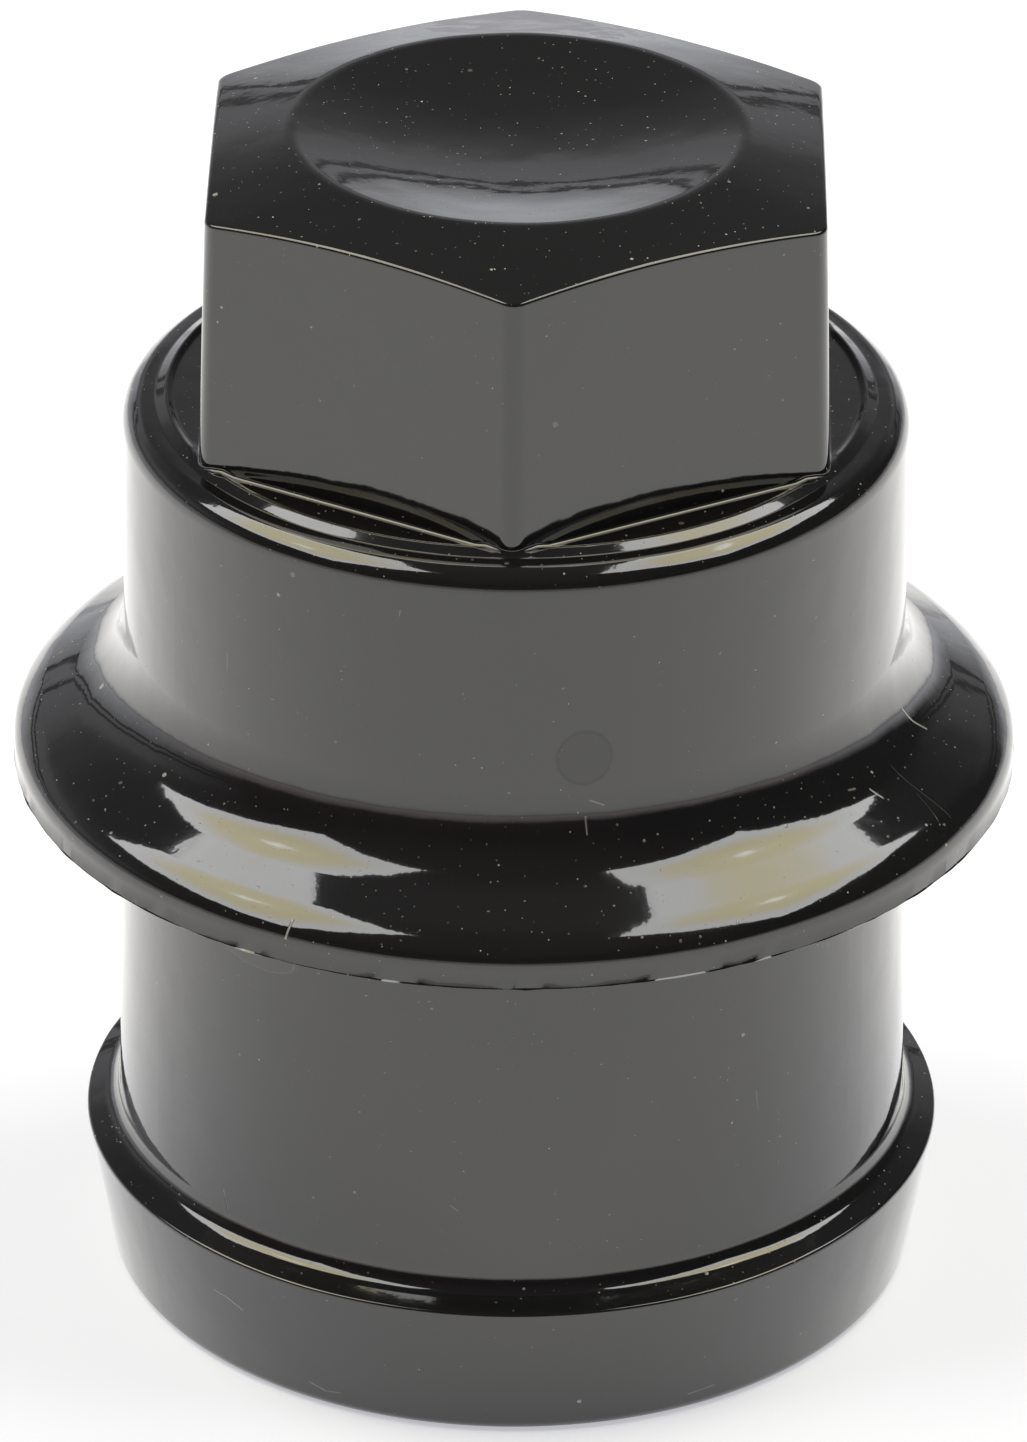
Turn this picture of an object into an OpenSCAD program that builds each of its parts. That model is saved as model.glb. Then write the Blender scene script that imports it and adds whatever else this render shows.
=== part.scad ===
// Wheel nut cover cap, moulded in one piece. It screws over a wheel nut's collar, its snap lip
// holds it in the wheel cover, and its flange covers the edge of the hole there.
// It stands on its open mouth: +Z runs up its axis, and the origin is the centre of the mouth's rim.

/* [Hexagon head] */
// Width across the flats at the foot of the head, which a wheel wrench fits
hex_across_flats = 22; // [20:0.1:23]
// Height of the head, from its foot to the tops of its corners
hex_height = 9.07; // [7:0.01:12]
// Draft of each flat, in degrees
hex_draft = 1.66; // [0.5:0.01:3]
// Rounding of the six upright corners
hex_corner_round = 0.8; // [0.3:0.1:1.5]
// Slope of the crown between the corners and the dish, in degrees
crown_slope = 12.9; // [8:0.1:18]
// Diameter of the dish in the crown
dish_diameter = 15.9; // [12:0.1:17]
// Depth of the dish below its rim
dish_depth = 1.4; // [0.8:0.1:2.2]
// Rounding of the dish's rim
dish_rim_round = 1.2; // [0.4:0.1:2]

/* [Body and shoulder] */
// Height of the head's foot above the mouth
foot_height = 34.42; // [32:0.01:38]
// Diameter of the body at its shoulder
body_diameter = 27.92; // [27:0.01:29]
// Draft of the body, in degrees
body_draft = 0.3; // [0.1:0.1:1.5]
// Rounding of the shoulder's outer edge
shoulder_edge_round = 0.8; // [0.2:0.1:1]
// Slope of the shoulder beside the head, in degrees
shoulder_inner_slope = 12; // [8:1:20]
// Slope of the shoulder at its outer edge, in degrees
shoulder_outer_slope = 34; // [28:1:42]
// Rounding between the shoulder's two slopes
shoulder_crown_round = 2.4; // [1:0.1:3]
// How far the hexagon's corners stand out past the collar that rings its foot
corner_overhang = 0.18; // [0.1:0.01:0.4]
// Depth of the crescent pockets between the flats and the collar
pocket_depth = 0.15; // [0.1:0.01:0.4]

/* [Flange] */
// Diameter of the flange that covers the wheel cover's hole
flange_diameter = 36.07; // [34:0.01:40]
// Height of the flange's underside, which bears on the wheel cover
flange_seat_height = 20.1; // [17:0.1:22]
// Height of the flange's upright edge, before its rounding
flange_edge_height = 1.1; // [0.9:0.01:1.5]
// Rounding of the flange's outer edge
flange_edge_round = 0.91; // [0.3:0.01:1]
// How far in from its edge the flange falls more steeply
flange_rim_width = 0.61; // [0.5:0.01:1]
// Slope of the flange's rim, in degrees
flange_rim_slope = 46.6; // [40:0.1:55]
// Rounding between the flange's rim and its top
flange_rim_round = 2.34; // [1:0.01:3]
// Slope of the flange's top, in degrees
flange_slope = 26; // [18:0.1:32]
// Fillet between the flange and the body
flange_fillet = 3.24; // [1:0.01:4]
// Fillet between the flange's underside and the skirt
seat_fillet = 0.25; // [0.1:0.05:0.6]

/* [Skirt and snap lip] */
// Diameter of the skirt just above the snap lip
skirt_diameter = 28.81; // [28:0.01:29.5]
// Draft of the skirt, in degrees
skirt_draft = 1.18; // [0.5:0.01:1.5]
// Widest diameter of the snap lip
lip_diameter = 31.16; // [30.5:0.01:33]
// Height of the snap lip's top
lip_top_height = 6.17; // [5:0.01:8]
// Rounding of the snap lip's top edge
lip_round = 0.96; // [0.4:0.01:1]
// Taper that leads the snap lip into its hole, in degrees
lip_taper = 9.7; // [5:0.1:12]
// Fillet between the snap lip and the skirt
lip_fillet = 0.15; // [0.1:0.05:0.5]
// Rounding of the mouth's outer edge
mouth_edge_round = 0.53; // [0.2:0.01:0.8]

/* [Bore] */
// Nominal diameter of the thread
thread_diameter = 24; // [22:0.5:24]
// Pitch of the thread
thread_pitch = 2; // [1:0.25:2]
// Length of the threaded wall
thread_length = 15; // [10:0.5:18]
// Clearance between the counterbore at the mouth and the thread's nominal radius
mouth_clearance = 0.6; // [0.2:0.1:0.8]
// Depth of the counterbore at the mouth
mouth_depth = 3; // [1:0.1:5]
// Chamfer at the mouth's inner edge
mouth_chamfer = 0.4; // [0.1:0.1:0.8]
// Step in from the threaded wall to the plain bore above it
bore_step = 0.2; // [0.1:0.05:0.5]
// Rounding at the top of the plain bore
bore_corner_round = 1.2; // [0.3:0.1:2]
// Thickness of the shoulder over the plain bore
shoulder_wall = 2.5; // [2:0.1:4]
// Thickness of the head's walls at the flats
head_wall = 2.4; // [1.5:0.1:3.5]
// Thickness of the crown below the dish
crown_wall = 2.4; // [1.5:0.1:3.5]
// Draft of the hollow in the head, in degrees
hollow_draft = 1; // [0.5:0.1:2]
// Rounding at the top of the hollow in the head
hollow_corner_round = 1.5; // [0.3:0.1:2.5]
// Rounding of the ledge's edge between the two hollows
ledge_round = 0.5; // [0.1:0.1:1]

/* [Hidden] */

// Degrees that one straight step of a rounding turns through
arc_step = 6;
// How far the cutting and joining shapes run past the surfaces that they meet
overrun = 1;
// Share of an outline's edge that the roundings at its two ends may take up between them
edge_share = 0.98;
// Depth of a metric internal thread's crest below its nominal radius, as a share of its pitch
crest_depth_share = 0.5413;

// Hexagon head
hex_top_flats = hex_across_flats - 2 * hex_height * tan(hex_draft);
hex_top_corner_radius = hex_top_flats / 2 / cos(30);
rounded_corner_radius = hex_across_flats / 2 / cos(30) - hex_corner_round * (1 / cos(30) - 1);
corner_height = foot_height + hex_height;
dish_radius = dish_diameter / 2;
dish_rim_height = corner_height + (hex_top_corner_radius - dish_radius) * tan(crown_slope);
dish_sphere_radius = (pow(dish_radius, 2) + pow(dish_depth, 2)) / (2 * dish_depth);
dish_floor_height = dish_rim_height - dish_depth;
dish_centre_height = dish_floor_height + dish_sphere_radius;

// Shoulder, from the collar at the head's foot out to the body
collar_radius = rounded_corner_radius - corner_overhang;
collar_height = foot_height + pocket_depth;
body_radius = body_diameter / 2;
shoulder_middle_radius = (collar_radius + body_radius) / 2;
shoulder_middle_height = collar_height
    - (shoulder_middle_radius - collar_radius) * tan(shoulder_inner_slope);
shoulder_edge_height = shoulder_middle_height
    - (body_radius - shoulder_middle_radius) * tan(shoulder_outer_slope);

// Flange, whose slope runs in to the body's drafted wall
flange_radius = flange_diameter / 2;
flange_edge_top = flange_seat_height + flange_edge_height;
flange_rim_radius = flange_radius - flange_rim_width;
flange_rim_top = flange_edge_top + flange_rim_width * tan(flange_rim_slope);
body_foot_height = flange_rim_top + (flange_rim_radius - body_radius) * tan(flange_slope);
body_foot_radius = body_radius + (shoulder_edge_height - body_foot_height) * tan(body_draft);

// Skirt and snap lip
skirt_radius = skirt_diameter / 2;
skirt_top_radius = skirt_radius - (flange_seat_height - lip_top_height) * tan(skirt_draft);
lip_corner_radius = lip_diameter / 2 - lip_round + lip_round / tan((90 - lip_taper) / 2);
mouth_outer_radius = lip_corner_radius - lip_top_height * tan(lip_taper);

// Bore
thread_wall_radius = thread_diameter / 2 - crest_depth_share * thread_pitch;
mouth_bore_radius = thread_diameter / 2 + mouth_clearance;
thread_start_height = mouth_depth + mouth_bore_radius - thread_wall_radius;
thread_end_height = thread_start_height + thread_length;
plain_bore_radius = thread_wall_radius - bore_step;
ledge_height = foot_height - shoulder_wall;
hollow_top_height = dish_floor_height - crown_wall;
hollow_top_radius = hex_top_flats / 2 - head_wall;
hollow_foot_radius = hollow_top_radius + (hollow_top_height - ledge_height) * tan(hollow_draft);

// A direction as a vector of length one
function unit(v) = v / norm(v);

// Points of the arc, centred at c, from a start angle through a signed sweep
function arc(c, radius, start, sweep) =
    let (steps = max(1, ceil(abs(sweep) / arc_step)))
    [for (i = [0:steps]) c + radius * [cos(start + sweep * i / steps), sin(start + sweep * i / steps)]];

// Half of the angle at the corner b between its neighbours a and c
function half_angle(a, b, c) = acos(unit(a - b) * unit(c - b)) / 2;

// Points that round the corner b between its neighbours a and c, starting at the given reach from b
function rounded_corner(a, b, c, reach) =
    let (
        to_a = unit(a - b),
        to_c = unit(c - b),
        half = half_angle(a, b, c),
        r = reach * tan(half),
        centre = b + unit(to_a + to_c) * r / sin(half),
        from = b + to_a * reach - centre,
        side = sign(to_c[0] * to_a[1] - to_c[1] * to_a[0])
    )
    arc(centre, r, atan2(from[1], from[0]), side * (180 - 2 * half));

// Outline through corners given as [x, y, rounding], where two roundings that want more than
// the edge between them share it in proportion
function rounded(corners) =
    let (
        n = len(corners),
        p = [for (k = corners) [k[0], k[1]]],
        wanted = [for (i = [0:n - 1])
            corners[i][2] / tan(half_angle(p[(i + n - 1) % n], p[i], p[(i + 1) % n]))]
    )
    [for (i = [0:n - 1])
        let (before = (i + n - 1) % n, after = (i + 1) % n)
        each (wanted[i] == 0
            ? [p[i]]
            : rounded_corner(p[before], p[i], p[after], min(
                wanted[i],
                edge_share * norm(p[i] - p[before]) * wanted[i] / (wanted[i] + wanted[before]),
                edge_share * norm(p[i] - p[after]) * wanted[i] / (wanted[i] + wanted[after])
            )))];

// Outside of the cap below its head, as a half section
module body_section() {
    polygon(rounded([
        [0, 0, 0],
        [mouth_outer_radius, 0, mouth_edge_round],
        [lip_corner_radius, lip_top_height, lip_round],
        [skirt_radius, lip_top_height, lip_fillet],
        [skirt_top_radius, flange_seat_height, seat_fillet],
        [flange_radius, flange_seat_height, 0],
        [flange_radius, flange_edge_top, flange_edge_round],
        [flange_rim_radius, flange_rim_top, flange_rim_round],
        [body_foot_radius, body_foot_height, flange_fillet],
        [body_radius, shoulder_edge_height, shoulder_edge_round],
        [shoulder_middle_radius, shoulder_middle_height, shoulder_crown_round],
        [collar_radius, collar_height, 0],
        [collar_radius - pocket_depth, foot_height, 0],
        [0, foot_height, 0]
    ]));
}

// Hollow that takes the nut, its thread and the end of the stud, as a half section
module bore_section() {
    polygon(rounded([
        [0, -overrun, 0],
        [mouth_bore_radius + mouth_chamfer + overrun, -overrun, 0],
        [mouth_bore_radius, mouth_chamfer, 0],
        [mouth_bore_radius, mouth_depth, 0],
        [thread_wall_radius, thread_start_height, 0],
        [thread_wall_radius, thread_end_height, 0],
        [plain_bore_radius, thread_end_height + bore_step, 0],
        [plain_bore_radius, ledge_height, bore_corner_round],
        [hollow_foot_radius, ledge_height, ledge_round],
        [hollow_top_radius, hollow_top_height, hollow_corner_round],
        [0, hollow_top_height, 0]
    ]));
}

// Everything below the crown's sloping top and its dish, as a half section
module crown_section() {
    // The dish's rim is an arc that touches the slope from below and the dish's sphere from outside
    rim_line = dish_rim_height + dish_radius * tan(crown_slope) - dish_rim_round / cos(crown_slope);
    rise = dish_centre_height - rim_line;
    reach = dish_sphere_radius + dish_rim_round;
    quad_a = 1 + pow(tan(crown_slope), 2);
    quad_b = 2 * rise * tan(crown_slope);
    quad_c = pow(rise, 2) - pow(reach, 2);
    rim_x = (-quad_b + sqrt(pow(quad_b, 2) - 4 * quad_a * quad_c)) / (2 * quad_a);
    rim_centre = [rim_x, rim_line - rim_x * tan(crown_slope)];
    dish_centre = [0, dish_centre_height];
    rim_angle = atan2(dish_centre[1] - rim_centre[1], -rim_centre[0]);
    outer_radius = hex_top_corner_radius + overrun;
    polygon(concat(
        [
            [0, foot_height - 2 * overrun],
            [outer_radius, foot_height - 2 * overrun],
            [outer_radius, corner_height - overrun * tan(crown_slope)]
        ],
        arc(rim_centre, dish_rim_round, 90 - crown_slope, rim_angle - 90 + crown_slope),
        arc(dish_centre, dish_sphere_radius, rim_angle - 180, 90 - rim_angle)
    ));
}

// Drafted hexagon with rounded corners, one of them towards -Y
module hexagon_head() {
    foot_corner_radius = hex_across_flats / 2 / cos(30);
    sunk_radius = foot_corner_radius + overrun * tan(hex_draft) / cos(30);
    rise = hex_height + 2 * overrun;
    top_radius = foot_corner_radius - rise * tan(hex_draft) / cos(30);
    translate([0, 0, foot_height - overrun])
        linear_extrude(height = rise + overrun, scale = top_radius / sunk_radius)
            polygon(rounded([
                for (i = [0:5])
                    [sunk_radius * cos(60 * i - 90), sunk_radius * sin(60 * i - 90), hex_corner_round]
            ]));
}

// The whole moulding
module cap() {
    color([0.05, 0.05, 0.055])
        difference() {
            union() {
                rotate_extrude($fn = 180)
                    body_section();
                intersection() {
                    hexagon_head();
                    rotate_extrude($fn = 180)
                        crown_section();
                }
            }
            rotate_extrude($fn = 180)
                bore_section();
        }
}

cap();
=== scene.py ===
import math

import bmesh
import bpy
from mathutils import Matrix, Vector, noise


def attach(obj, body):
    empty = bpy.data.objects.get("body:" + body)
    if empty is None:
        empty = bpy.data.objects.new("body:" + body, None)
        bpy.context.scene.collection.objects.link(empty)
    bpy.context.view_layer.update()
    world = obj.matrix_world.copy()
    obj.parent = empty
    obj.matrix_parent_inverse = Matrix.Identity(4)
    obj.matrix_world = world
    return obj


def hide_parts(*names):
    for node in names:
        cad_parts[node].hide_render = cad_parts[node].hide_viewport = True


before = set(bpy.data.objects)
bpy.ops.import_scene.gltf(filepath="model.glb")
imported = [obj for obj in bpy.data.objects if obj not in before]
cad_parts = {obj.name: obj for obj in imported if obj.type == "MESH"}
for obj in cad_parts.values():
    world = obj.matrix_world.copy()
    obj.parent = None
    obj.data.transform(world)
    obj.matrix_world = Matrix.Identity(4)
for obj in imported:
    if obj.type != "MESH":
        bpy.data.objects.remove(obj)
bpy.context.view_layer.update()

# One millimetre in the scene's metres
MM = 0.001


# Sizes of the cap in millimetres and degrees, as the solid has them

HEX_FLATS = 22.0
HEX_HEIGHT = 9.07
HEX_DRAFT = 1.66
HEX_CORNER_ROUND = 0.8
CROWN_SLOPE = 12.9
DISH_DIAMETER = 15.9
DISH_DEPTH = 1.4
DISH_RIM_ROUND = 1.2

FOOT_HEIGHT = 34.42
BODY_DIAMETER = 27.92
BODY_DRAFT = 0.3
CORNER_OVERHANG = 0.18

FLANGE_DIAMETER = 36.07
FLANGE_SEAT = 20.1
FLANGE_EDGE = 1.1
FLANGE_EDGE_ROUND = 0.91
FLANGE_RIM_WIDTH = 0.61
FLANGE_RIM_SLOPE = 46.6
FLANGE_RIM_ROUND = 2.34
FLANGE_SLOPE = 26.0
FLANGE_FILLET = 3.24
SEAT_FILLET = 0.25

SKIRT_DIAMETER = 28.81
SKIRT_DRAFT = 1.18
LIP_DIAMETER = 31.16
LIP_TOP = 6.17
LIP_ROUND = 0.96
LIP_TAPER = 9.7
MOUTH_EDGE_ROUND = 0.53

THREAD_DIAMETER = 24.0
THREAD_PITCH = 2.0
THREAD_LENGTH = 15.0
CREST_DEPTH_SHARE = 0.5413
CREST_FLAT = 0.125
ROOT_FLAT = 0.25
MOUTH_CLEARANCE = 0.6
MOUTH_DEPTH = 3.0
MOUTH_CHAMFER = 0.4
BORE_STEP = 0.2
BORE_CORNER_ROUND = 1.2
SHOULDER_WALL = 2.5
HEAD_WALL = 2.4
CROWN_WALL = 2.4
HOLLOW_DRAFT = 1.0
HOLLOW_CORNER_ROUND = 1.5
HOLLOW_LAST_RING = 0.3
LEDGE_ROUND = 0.5

# Forms read from the reflections on them, a few tenths of a millimetre off the solid's

SHOULDER_EDGE_ROUND = 0.8
SHOULDER_INNER_SLOPE = 3.0
SHOULDER_OUTER_SLOPE = 35.0
SHOULDER_CROWN_ROUND = 0.5
SHOULDER_CROWN_RADIUS = 13.35
COLLAR_WIDTH = 0.42
COLLAR_SLOPE = 27.0
COLLAR_DROP = 0.06
COLLAR_FOOT_ROUND = 0.2
POCKET_DEPTH = 0.12
POCKET_EDGE_ROUND = 0.12
LIP_EDGE_HEIGHT = 5.42
LIP_EDGE_ROUND = 0.13
LIP_CREST_SLOPE = 20.0
LIP_FILLET = 0.85
DISH_RIM_SLOPE = 11.2
DISH_BOWL_RADIUS = 5.8

# Fine forms that only this mesh carries

HEX_TOP_EDGE = 0.16
HEX_FOOT_FILLET = 0.12
SINK_DEPTH = 0.02
SINK_START = 1.0

# Waves of the skin: noise cells to the millimetre, share of the depth, and the noise's own origin
WAVES = ((0.16, 0.6, (3.1, 7.7, 1.9)), (0.55, 0.5, (11.3, 2.4, 5.2)))

# The flash line under the flange: height of its edge, width of its root, how far it reaches, the
# even and ragged shares of that reach, and its rags to the degree
FLASH_HEIGHT = 0.05
FLASH_ROOT = 0.06
FLASH_REACH = 0.045
FLASH_EVEN = 0.4
FLASH_RAGGED = 1.5
RAGS_PER_DEGREE = 0.35

# Burrs on it: azimuth from the front and half width in degrees, with the reach between them
BURRS = ((2.0, 0.09, 1.6), (19.7, 0.11, 1.5), (29.1, 0.08, 2.0), (-30.0, 0.07, 2.5),
         (-97.0, 0.12, 1.8), (98.0, 0.1, 1.8), (150.0, 0.09, 2.0))

# Mesh density: columns in each of the six sectors, how many of them stand at its corner, and the
# half width of that corner in degrees
SECTOR_COLUMNS = 42
CORNER_COLUMNS = 12
CORNER_ZONE = 2.3

# Degrees between the points of an arc, on the sections and on the dish's rim
ARC_STEP = 7.0
DISH_RIM_STEP = 2.2

# Angle in degrees up to which the shading runs smoothly over an edge
SMOOTH_ANGLE = 40

# Share of an edge that two roundings may use up, and how far beside each a guard ring stands
EDGE_SHARE = 0.98
GUARD = 0.05

# Widest gaps between rings outside, in the mouth and in the hollow, and the least between rings
# that the hexagon pushes together
SKIN_SPACING = 0.7
MOUTH_SPACING = 1.0
HOLLOW_SPACING = 1.2
SQUEEZE = 0.012

# Rings in the dish's bowl, in each turn of the thread, and round the hexagon's top edge, with the
# degrees between them there and round its foot
BOWL_RINGS = 18
RINGS_PER_PITCH = 8
TOP_EDGE_RINGS = 7
TOP_EDGE_STEP = 12.5
FOOT_STEP = 15

# Where rings stand on the way in to the hexagon's foot, up its flats and in over its crown
GROUND_START = 0.3
FLOOR_SHARES = (0.3, 0.6, 0.9)
WALL_SHARES = (0.006, 0.03, 0.1, 0.2, 0.32, 0.44, 0.56, 0.68, 0.8, 0.9, 0.97, 0.994)
CROWN_SHARES = (0.01, 0.04, 0.12, 0.25, 0.4, 0.55, 0.7, 0.82, 0.92)


def tan(degrees):
    return math.tan(math.radians(degrees))


# Section outlines

def full_reach(a, b, c, radius):
    """How far a rounding of the corner b runs along its two edges."""
    return radius / math.tan((a - b).angle(c - b) / 2)


def round_corner(a, b, c, reach, step=ARC_STEP):
    """Points that round the corner b between its neighbours a and c, starting at a reach from b."""
    to_a = (a - b).normalized()
    to_c = (c - b).normalized()
    half = to_a.angle(to_c) / 2
    r = reach * math.tan(half)
    centre = b + (to_a + to_c).normalized() * r / math.sin(half)
    start = b + to_a * reach - centre
    side = math.copysign(1, to_c.x * to_a.y - to_c.y * to_a.x)
    sweep = side * (math.pi - 2 * half)
    steps = max(2, math.ceil(math.degrees(abs(sweep)) / step))
    turn = math.atan2(start.y, start.x)
    angles = [turn + sweep * i / steps for i in range(steps + 1)]
    return [centre + Vector((math.cos(t), math.sin(t))) * r for t in angles]


def rounded(corners, step=ARC_STEP):
    """Open outline through corners given as (radius, height, rounding), which share their edges."""
    points = [Vector(k[:2]) for k in corners]
    inner = range(1, len(corners) - 1)
    wanted = [0.0] * len(corners)
    for i in inner:
        if corners[i][2]:
            wanted[i] = full_reach(points[i - 1], points[i], points[i + 1], corners[i][2])
    outline = [points[0]]
    for i in inner:
        if not wanted[i]:
            outline.append(points[i])
            continue
        reach = wanted[i]
        for k in (i - 1, i + 1):
            share = wanted[i] / (wanted[i] + wanted[k])
            reach = min(reach, EDGE_SHARE * share * (points[i] - points[k]).length)
        arc = round_corner(points[i - 1], points[i], points[i + 1], reach, step)
        before = (points[i - 1] - points[i]).normalized() * GUARD
        after = (points[i + 1] - points[i]).normalized() * GUARD
        room_before = (outline[-1] - arc[0]).length
        room_after = (points[i + 1] - arc[-1]).length - wanted[i + 1]
        if room_before > 3 * GUARD:
            outline.append(arc[0] + before)
        outline += arc
        if room_after > 3 * GUARD:
            outline.append(arc[-1] + after)
    return outline + [points[-1]]


def filled(outline, spacing):
    """The outline with more points along each stretch longer than the spacing."""
    full = [outline[0]]
    for p in outline[1:]:
        q = full[-1]
        steps = max(1, math.ceil((p - q).length / spacing))
        full += [q.lerp(p, i / steps) for i in range(1, steps + 1)]
    return full


# Driving radii and heights that follow from the sizes

FOOT_APOTHEM = HEX_FLATS / 2
CORNER_RADIUS = FOOT_APOTHEM / math.cos(math.pi / 6)
ROUNDED_CORNER_RADIUS = CORNER_RADIUS - HEX_CORNER_ROUND * (1 / math.cos(math.pi / 6) - 1)
TOP_CORNER_RADIUS = (FOOT_APOTHEM - HEX_HEIGHT * tan(HEX_DRAFT)) / math.cos(math.pi / 6)
CORNER_HEIGHT = FOOT_HEIGHT + HEX_HEIGHT
COLLAR_RADIUS = ROUNDED_CORNER_RADIUS - CORNER_OVERHANG
COLLAR_HEIGHT = FOOT_HEIGHT - COLLAR_DROP
BODY_RADIUS = BODY_DIAMETER / 2
COLLAR_FOOT_RADIUS = COLLAR_RADIUS + COLLAR_WIDTH
COLLAR_FOOT = COLLAR_HEIGHT - COLLAR_WIDTH * tan(COLLAR_SLOPE)
SHOULDER_INNER_WIDTH = SHOULDER_CROWN_RADIUS - COLLAR_FOOT_RADIUS
SHOULDER_OUTER_WIDTH = BODY_RADIUS - SHOULDER_CROWN_RADIUS
SHOULDER_CROWN = COLLAR_FOOT - SHOULDER_INNER_WIDTH * tan(SHOULDER_INNER_SLOPE)
SHOULDER_EDGE = SHOULDER_CROWN - SHOULDER_OUTER_WIDTH * tan(SHOULDER_OUTER_SLOPE)
FLANGE_RADIUS = FLANGE_DIAMETER / 2
FLANGE_TOP = FLANGE_SEAT + FLANGE_EDGE
FLANGE_RIM_RADIUS = FLANGE_RADIUS - FLANGE_RIM_WIDTH
FLANGE_RIM_TOP = FLANGE_TOP + FLANGE_RIM_WIDTH * tan(FLANGE_RIM_SLOPE)
BODY_FOOT = FLANGE_RIM_TOP + (FLANGE_RIM_RADIUS - BODY_RADIUS) * tan(FLANGE_SLOPE)
BODY_FOOT_RADIUS = BODY_RADIUS + (SHOULDER_EDGE - BODY_FOOT) * tan(BODY_DRAFT)
SKIRT_RADIUS = SKIRT_DIAMETER / 2
SKIRT_TOP_RADIUS = SKIRT_RADIUS - (FLANGE_SEAT - LIP_TOP) * tan(SKIRT_DRAFT)
LIP_CORNER_RADIUS = LIP_DIAMETER / 2 - LIP_ROUND + LIP_ROUND / tan((90 - LIP_TAPER) / 2)
MOUTH_OUTER_RADIUS = LIP_CORNER_RADIUS - LIP_TOP * tan(LIP_TAPER)
LIP_EDGE_RADIUS = MOUTH_OUTER_RADIUS + LIP_EDGE_HEIGHT * tan(LIP_TAPER)
LIP_FOOT = LIP_EDGE_HEIGHT + (LIP_EDGE_RADIUS - SKIRT_RADIUS) * tan(LIP_CREST_SLOPE)
CREST_RADIUS = THREAD_DIAMETER / 2 - CREST_DEPTH_SHARE * THREAD_PITCH
MOUTH_BORE_RADIUS = THREAD_DIAMETER / 2 + MOUTH_CLEARANCE
THREAD_START = MOUTH_DEPTH + MOUTH_BORE_RADIUS - CREST_RADIUS
THREAD_END = THREAD_START + THREAD_LENGTH
PLAIN_BORE_RADIUS = CREST_RADIUS - BORE_STEP
LEDGE_HEIGHT = FOOT_HEIGHT - SHOULDER_WALL
DISH_RADIUS = DISH_DIAMETER / 2
DISH_RIM_HEIGHT = CORNER_HEIGHT + (TOP_CORNER_RADIUS - DISH_RADIUS) * tan(CROWN_SLOPE)
DISH_MIDDLE = DISH_RIM_HEIGHT - (DISH_RADIUS - DISH_BOWL_RADIUS / 2) * tan(DISH_RIM_SLOPE)
HOLLOW_TOP = DISH_RIM_HEIGHT - DISH_DEPTH - CROWN_WALL
HOLLOW_TOP_RADIUS = FOOT_APOTHEM - HEX_HEIGHT * tan(HEX_DRAFT) - HEAD_WALL
HOLLOW_FOOT_RADIUS = HOLLOW_TOP_RADIUS + (HOLLOW_TOP - LEDGE_HEIGHT) * tan(HOLLOW_DRAFT)
TOP_EDGE_REACH = HEX_TOP_EDGE * 0.8
SKIN_RADIUS = MOUTH_BORE_RADIUS + MOUTH_CHAMFER + 0.2
SKIN_TOP = HOLLOW_TOP + 1


def lathe_outline():
    """Outside of the cap from the mouth's flat rim up to the collar at the head's foot."""
    return filled(rounded([
        (MOUTH_BORE_RADIUS + MOUTH_CHAMFER, 0, 0),
        (MOUTH_OUTER_RADIUS, 0, MOUTH_EDGE_ROUND),
        (LIP_EDGE_RADIUS, LIP_EDGE_HEIGHT, LIP_EDGE_ROUND),
        (SKIRT_RADIUS, LIP_FOOT, LIP_FILLET),
        (SKIRT_TOP_RADIUS, FLANGE_SEAT, SEAT_FILLET),
        (FLANGE_RADIUS - FLASH_ROOT, FLANGE_SEAT, 0),
        (FLANGE_RADIUS - FLASH_ROOT / 3, FLANGE_SEAT + FLASH_ROOT / 3, 0),
        (FLANGE_RADIUS, FLANGE_SEAT + FLASH_HEIGHT, 0),
        (FLANGE_RADIUS - FLASH_ROOT / 6, FLANGE_SEAT + FLASH_ROOT * 1.5, 0),
        (FLANGE_RADIUS, FLANGE_TOP, FLANGE_EDGE_ROUND),
        (FLANGE_RIM_RADIUS, FLANGE_RIM_TOP, FLANGE_RIM_ROUND),
        (BODY_FOOT_RADIUS, BODY_FOOT, FLANGE_FILLET),
        (BODY_RADIUS, SHOULDER_EDGE, SHOULDER_EDGE_ROUND),
        (SHOULDER_CROWN_RADIUS, SHOULDER_CROWN, SHOULDER_CROWN_ROUND),
        (COLLAR_FOOT_RADIUS, COLLAR_FOOT, COLLAR_FOOT_ROUND),
        (COLLAR_RADIUS, COLLAR_HEIGHT, POCKET_EDGE_ROUND),
        (COLLAR_RADIUS - 2 * POCKET_DEPTH, COLLAR_HEIGHT - POCKET_DEPTH, 2 * POCKET_EDGE_ROUND),
        (COLLAR_RADIUS - 4 * POCKET_DEPTH, COLLAR_HEIGHT - POCKET_DEPTH, 0),
    ]), SKIN_SPACING)


def bore_outline():
    """The hollow, from the mouth's flat rim to the axis, with the thread's rings left out."""
    lower = rounded([
        (MOUTH_BORE_RADIUS + MOUTH_CHAMFER, 0, 0),
        (MOUTH_BORE_RADIUS, MOUTH_CHAMFER, 0),
        (MOUTH_BORE_RADIUS, MOUTH_DEPTH, 0),
        (CREST_RADIUS, THREAD_START, 0),
    ])
    upper = rounded([
        (CREST_RADIUS, THREAD_END, 0),
        (PLAIN_BORE_RADIUS, THREAD_END + BORE_STEP, 0),
        (PLAIN_BORE_RADIUS, LEDGE_HEIGHT, BORE_CORNER_ROUND),
        (HOLLOW_FOOT_RADIUS, LEDGE_HEIGHT, LEDGE_ROUND),
        (HOLLOW_TOP_RADIUS, HOLLOW_TOP, HOLLOW_CORNER_ROUND),
        (HOLLOW_LAST_RING, HOLLOW_TOP, 0),
    ])
    return filled(lower, MOUTH_SPACING), filled(upper, HOLLOW_SPACING)


# Hexagon head

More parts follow.
